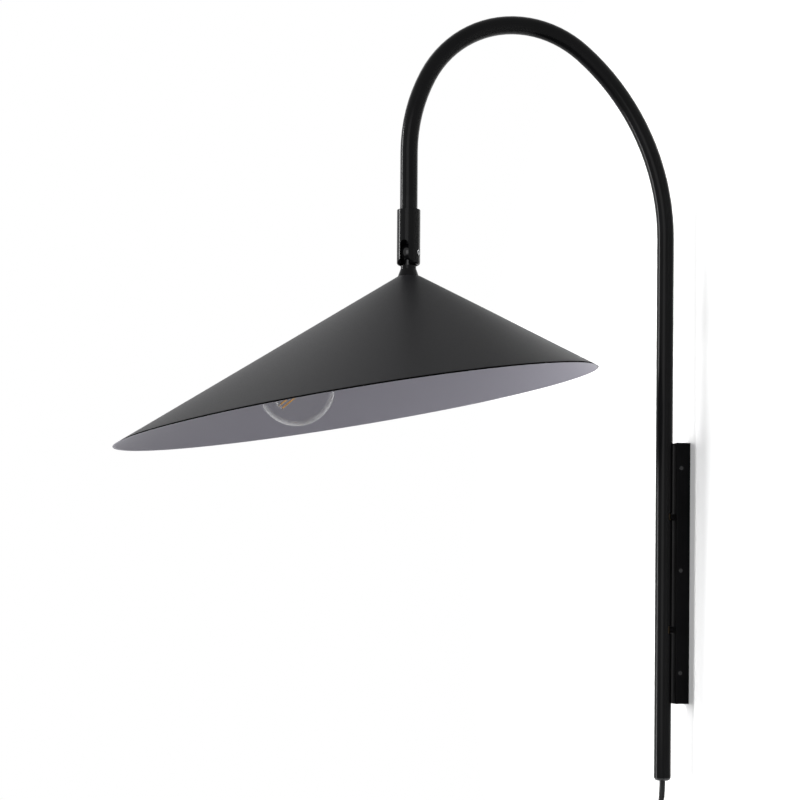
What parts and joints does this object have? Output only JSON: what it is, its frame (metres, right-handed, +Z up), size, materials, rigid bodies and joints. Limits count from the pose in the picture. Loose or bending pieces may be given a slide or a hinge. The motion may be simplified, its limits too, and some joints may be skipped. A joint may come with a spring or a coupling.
{
  "type": "hanging pendant wall sconce",
  "caption": "Plug-in wall lamp with an arched tube that swivels on a wall rail and carries a wide conical shade with a tilting knuckle and a globe bulb.",
  "frame": {"origin": "middle of the wall rail's back face, on the wall", "axes": "+Z up, +X into the wall, the lamp stands out from the wall towards -X"},
  "size_m": [0.6061, 0.478, 1.0976],
  "materials": {
    "black_coat": "satin",
    "shade_coat": "satin",
    "zinc_steel": "satin",
    "brass_part": "satin",
    "nickel": "gloss",
    "black_plastic": "matte",
    "black_gloss_plastic": "gloss",
    "cord_rubber": "satin",
    "clear_glass": "gloss",
    "filament": "satin"
  },
  "bodies": {
    "wall_unit": {"rail_cover": "black_coat", "wall_bracket": "zinc_steel", "cover_screws": "black_coat", "bearing_blocks": "zinc_steel", "bearing_bolts": "zinc_steel", "bearing_spacers": "zinc_steel", "bearing_bushes": "brass_part", "supply_cord": "cord_rubber", "switch_front_shell": "black_plastic", "switch_back_shell": "black_plastic", "switch_screws": "zinc_steel", "rocker_pin": "zinc_steel", "switch_contacts": "brass_part", "switch_cord": "cord_rubber", "cord_coil": "cord_rubber", "cord_tie": "black_plastic", "plug_cord": "cord_rubber", "plug_strain_relief": "black_plastic", "plug_body": "black_plastic", "plug_pins": "nickel"},
    "arm": {"arm_tube": "black_coat", "cord_grommet": "black_plastic", "arm_lead": "cord_rubber", "swivel_collar": "black_coat", "friction_washer": "zinc_steel", "spindle_nut": "zinc_steel"},
    "knuckle": {"knuckle_barrel": "black_coat", "pivot_screws": "zinc_steel", "knuckle_cores": "cord_rubber"},
    "head": {"pivot_ball": "black_coat", "shade_collar": "black_coat", "shade": "shade_coat", "shade_washer": "zinc_steel", "lock_nut": "zinc_steel", "holder_bracket": "zinc_steel", "holder_nipple": "brass_part", "holder_nut": "brass_part", "lamp_holder_body": "black_plastic", "holder_contact": "brass_part", "holder_thread_shell": "brass_part", "head_lead": "cord_rubber", "bulb_cap": "nickel", "bulb_insulator": "black_gloss_plastic", "bulb_globe": "clear_glass", "bulb_stem": "clear_glass", "bulb_filaments": "filament"},
    "rocker": {"switch_rocker": "black_gloss_plastic"}
  },
  "joints": [
    {"name": "arm_swivel", "type": "hinge", "parent": "wall_unit", "child": "arm", "pos_m": [-0.0255, 0, 0], "axis": [0, 0, 1], "range_deg": [-50, 50]},
    {"name": "head_swivel", "type": "hinge", "parent": "arm", "child": "knuckle", "pos_m": [-0.30845, 0, 0.366], "axis": [0, 0, -1], "range_deg": [-80, 80]},
    {"name": "head_tilt", "type": "hinge", "parent": "knuckle", "child": "head", "pos_m": [-0.30845, 0, 0.32552], "axis": [-0.788, 0.6157, 0], "range_deg": [0, 90]},
    {"name": "rocker_tip", "type": "hinge", "parent": "wall_unit", "child": "rocker", "pos_m": [-0.0331, 0, -0.291], "axis": [0, 1, 0], "range_deg": [0, 14]}
  ]
}
